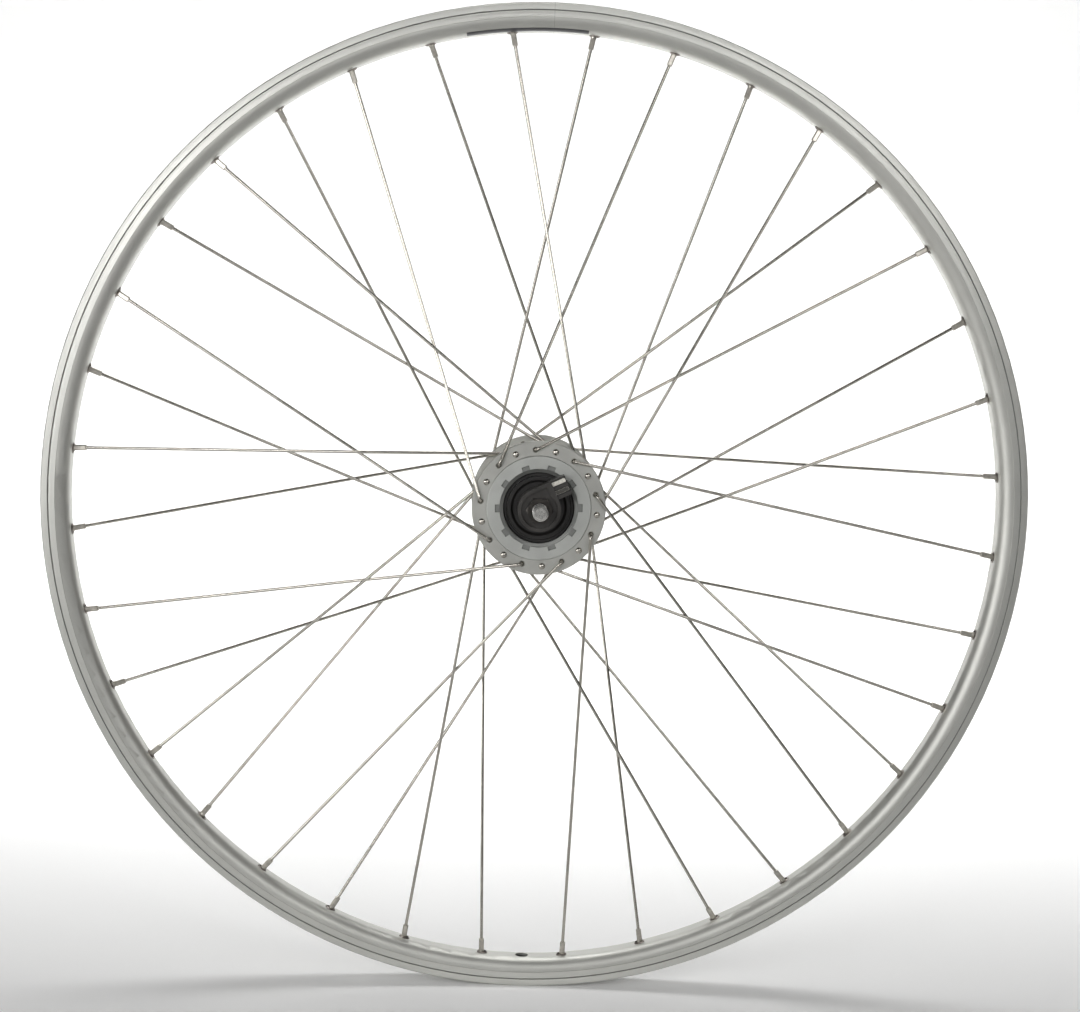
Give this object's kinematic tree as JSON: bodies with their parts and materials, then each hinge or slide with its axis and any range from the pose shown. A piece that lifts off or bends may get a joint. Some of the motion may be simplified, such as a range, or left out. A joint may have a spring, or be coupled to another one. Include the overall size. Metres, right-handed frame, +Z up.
{
  "type": "front bicycle wheel with hub dynamo",
  "caption": "Spoked front bicycle wheel with a hollow alloy rim, steel eyelets, crossed spokes and a hub that holds a dynamo with a plug connector at the axle.",
  "frame": {"origin": "on the axle's centre line, in the rim's middle plane", "axes": "+Y along the axle, away from the side with the connector; +Z up, with the valve hole straight down; +X to the right as seen from the connector side"},
  "size_m": [0.6339, 0.14, 0.634],
  "materials": {
    "rim_alloy": "satin anodised, machined brake tracks",
    "hub_alloy": "satin anodised, turned",
    "spoke_steel": "drawn stainless wire",
    "nipple_nickel": "nickel-plated brass",
    "eyelet_steel": "dull plated steel",
    "axle_steel": "zinc-plated steel",
    "bearing_steel": "hardened and ground",
    "black_steel": "black oxide",
    "cover_plastic": "moulded, black",
    "connector_plastic": "moulded, dark grey",
    "seal_rubber": "moulded",
    "terminal_tin": "tinned brass",
    "winding_copper": "enamelled copper wire",
    "bobbin_plastic": "moulded",
    "core_iron": "pressed and stacked iron",
    "magnet_ferrite": "sintered",
    "lead_insulation": "insulated wire"
  },
  "bodies": {
    "axle_assembly": {"axle": "axle_steel", "right_cone": "bearing_steel", "left_cone": "bearing_steel", "right_locknut": "black_steel", "left_locknut": "black_steel", "right_clamp_nut": "axle_steel", "left_clamp_nut": "axle_steel", "left_spacer": "axle_steel", "right_dust_cover": "cover_plastic", "left_dust_cover": "cover_plastic", "stator_core": "core_iron", "right_yoke": "core_iron", "left_yoke": "core_iron", "bobbin": "bobbin_plastic", "coil": "winding_copper", "connector": "connector_plastic", "live_terminal": "terminal_tin", "ground_terminal": "terminal_tin", "lead_wire": "lead_insulation"},
    "wheel": {"rim": "rim_alloy", "eyelets": "eyelet_steel", "nipples": "nipple_nickel", "right_outer_spokes": "spoke_steel", "right_inner_spokes": "spoke_steel", "left_outer_spokes": "spoke_steel", "left_inner_spokes": "spoke_steel", "hub_shell": "hub_alloy", "end_cap": "hub_alloy", "flux_ring": "core_iron", "magnets": "magnet_ferrite", "right_cup": "bearing_steel", "left_cup": "bearing_steel", "right_seal": "seal_rubber", "left_seal": "seal_rubber"},
    "right_ball_set": {"right_balls": "bearing_steel", "right_ball_cage": "bearing_steel"},
    "left_ball_set": {"left_balls": "bearing_steel", "left_ball_cage": "bearing_steel"}
  },
  "joints": [
    {"name": "wheel_spin", "type": "hinge", "parent": "axle_assembly", "child": "wheel", "pos_m": [0, 0, 0], "axis": [0, 1, 0], "continuous": true},
    {"name": "right_balls_roll", "type": "hinge", "parent": "axle_assembly", "child": "right_ball_set", "pos_m": [0, -0.02504, 0], "axis": [0, 1, 0], "continuous": true},
    {"name": "left_balls_roll", "type": "hinge", "parent": "axle_assembly", "child": "left_ball_set", "pos_m": [0, 0.02504, 0], "axis": [0, 1, 0], "continuous": true}
  ],
  "couplings": [
    {"joint": "right_balls_roll", "follows": "wheel_spin", "ratio": 0.5905},
    {"joint": "left_balls_roll", "follows": "wheel_spin", "ratio": 0.5905}
  ]
}
